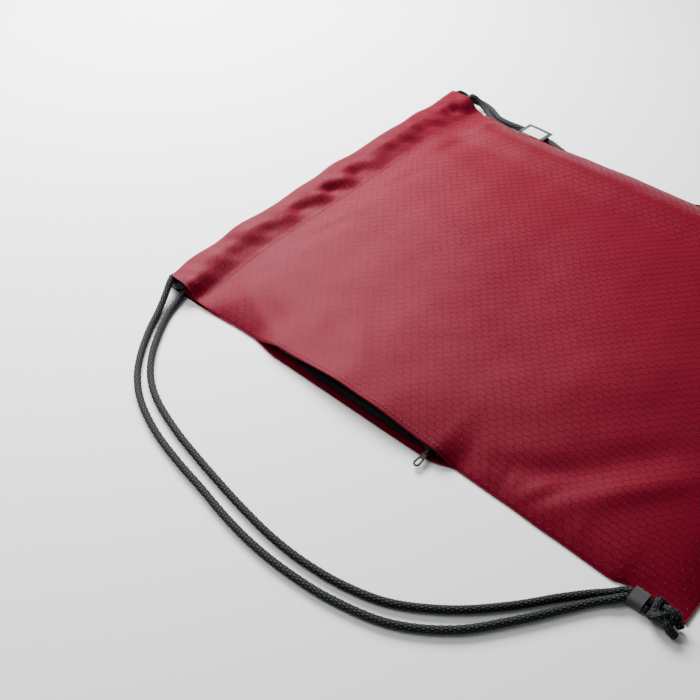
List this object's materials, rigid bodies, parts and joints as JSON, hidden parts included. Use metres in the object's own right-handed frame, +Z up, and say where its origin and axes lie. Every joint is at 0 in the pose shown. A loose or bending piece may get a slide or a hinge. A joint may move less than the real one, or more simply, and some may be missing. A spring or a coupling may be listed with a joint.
{
  "type": "drawstring backpack",
  "caption": "Flat ripstop cloth drawstring backpack with corded hems, webbing loops at its bottom corners and a zip pocket in its side seam, lying on its back panel",
  "frame": {"origin": "centre of the bag's footprint without its free cords, on the surface it lies on", "axes": "+Y towards the mouth, +X towards the side seam with the label, +Z up from the back panel to the front panel"},
  "size_m": [0.5455, 0.46, 0.0197],
  "materials": {
    "ripstop": "red honeycomb ripstop nylon, satin",
    "lining": "black plain-weave lining",
    "zip_tape": "black woven zip tape",
    "zip_coil": "black nylon coil",
    "zip_metal": "black lacquered zinc",
    "cord": "charcoal braided polyester cord",
    "label": "white woven damask with a dark border",
    "webbing": "black woven webbing"
  },
  "bodies": {
    "bag": {"front_panel": "ripstop", "back_panel": "ripstop", "pocket_lining_front": "lining", "pocket_lining_back": "lining", "zip_tape_front": "zip_tape", "zip_tape_back": "zip_tape", "zip_coil_front": "zip_coil", "zip_coil_back": "zip_coil", "zip_top_stop_front": "zip_metal", "zip_top_stop_back": "zip_metal", "zip_bottom_stop": "zip_metal", "cord_left_hem_loop": "cord", "cord_right_hem_loop": "cord", "cord_left_front_strand": "cord", "cord_left_back_strand": "cord", "cord_left_knot": "cord", "cord_right_front_strand": "cord", "cord_right_back_strand": "cord", "cord_right_knot": "cord", "seam_label": "label", "cord_left_webbing_loop": "webbing", "cord_right_webbing_loop": "webbing"},
    "slider": {"zip_slider": "zip_metal"},
    "puller": {"zip_puller": "zip_metal"}
  },
  "joints": [
    {"name": "zip_slide", "type": "slide", "parent": "bag", "child": "slider", "axis": [0, 1, 0], "range_m": [0, 0.1355], "deforming": ["zip_coil_front", "zip_coil_back", "zip_tape_front", "zip_tape_back"]},
    {"name": "puller_swing", "type": "hinge", "parent": "slider", "child": "puller", "pos_m": [-0.17996, -0.036, 0.00484], "axis": [-0.1392, 0, 0.9903], "range_deg": [-80, 80]}
  ]
}
